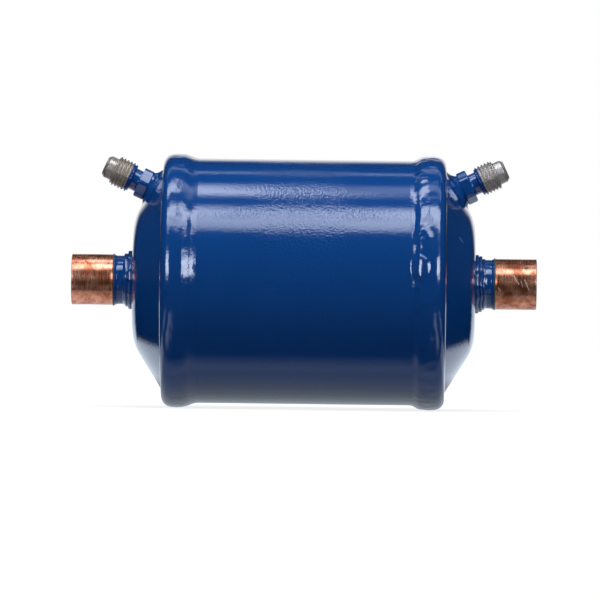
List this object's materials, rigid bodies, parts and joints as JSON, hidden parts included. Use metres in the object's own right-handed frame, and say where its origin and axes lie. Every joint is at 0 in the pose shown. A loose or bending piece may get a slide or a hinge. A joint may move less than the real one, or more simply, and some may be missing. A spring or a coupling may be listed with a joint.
{
  "type": "suction line filter drier",
  "caption": "Steel suction-line filter drier with domed end caps, copper solder stubs at both ends and angled access valves on the shoulders.",
  "frame": {"origin": "middle of the shell, on its axis, which is also the centre of the bounding box", "axes": "+X along the shell's axis from the inlet stub to the outlet stub, +Z towards the side that carries the access valves, +Y away from the viewer"},
  "size_m": [0.1688, 0.0922, 0.0922],
  "materials": {
    "blue_paint": "glossy dark blue enamel over steel, with slight orange peel",
    "blue_paint_braze": "glossy dark blue enamel over lumpy braze",
    "copper": "bare copper, brushed and a little oxidised",
    "valve_steel": "nickel-plated, satin, painted blue over the hexagon and neck",
    "core_brass": "plain turned",
    "seal_plastic": "moulded white seal",
    "seal_rubber": "black rubber",
    "spring_steel": "drawn wire",
    "desiccant": "moulded porous block, off-white",
    "felt": "pressed fibre felt",
    "plated_steel": "plain plated sheet"
  },
  "bodies": {
    "vessel": {"shell_tube": "blue_paint", "inlet_cap": "blue_paint", "inlet_cap_weld": "blue_paint", "inlet_stub": "copper", "inlet_stub_braze": "blue_paint_braze", "inlet_valve_body": "valve_steel", "inlet_valve_braze": "blue_paint_braze", "inlet_core_barrel": "core_brass", "inlet_core_seal": "seal_plastic", "inlet_core_spring": "spring_steel", "outlet_cap": "blue_paint", "outlet_cap_weld": "blue_paint", "outlet_stub": "copper", "outlet_stub_braze": "blue_paint_braze", "outlet_valve_body": "valve_steel", "outlet_valve_braze": "blue_paint_braze", "outlet_core_barrel": "core_brass", "outlet_core_seal": "seal_plastic", "outlet_core_spring": "spring_steel", "desiccant_block": "desiccant", "filter_sleeve": "felt", "block_gasket": "felt", "bore_screen": "plated_steel", "guide_plate": "plated_steel", "press_plate": "plated_steel", "block_spring": "spring_steel"},
    "inlet_pin": {"inlet_core_pin": "core_brass", "inlet_core_gasket": "seal_rubber"},
    "outlet_pin": {"outlet_core_pin": "core_brass", "outlet_core_gasket": "seal_rubber"}
  },
  "joints": [
    {"name": "inlet_pin_press", "type": "slide", "parent": "vessel", "child": "inlet_pin", "axis": [0.9048, 0, -0.4258], "range_m": [0, 0.0015], "stiffness_N_per_m": 1500, "springref_m": -0.001, "deforming": ["inlet_core_spring"]},
    {"name": "outlet_pin_press", "type": "slide", "parent": "vessel", "child": "outlet_pin", "axis": [-0.9048, 0, -0.4258], "range_m": [0, 0.0015], "stiffness_N_per_m": 1500, "springref_m": -0.001, "deforming": ["outlet_core_spring"]}
  ]
}
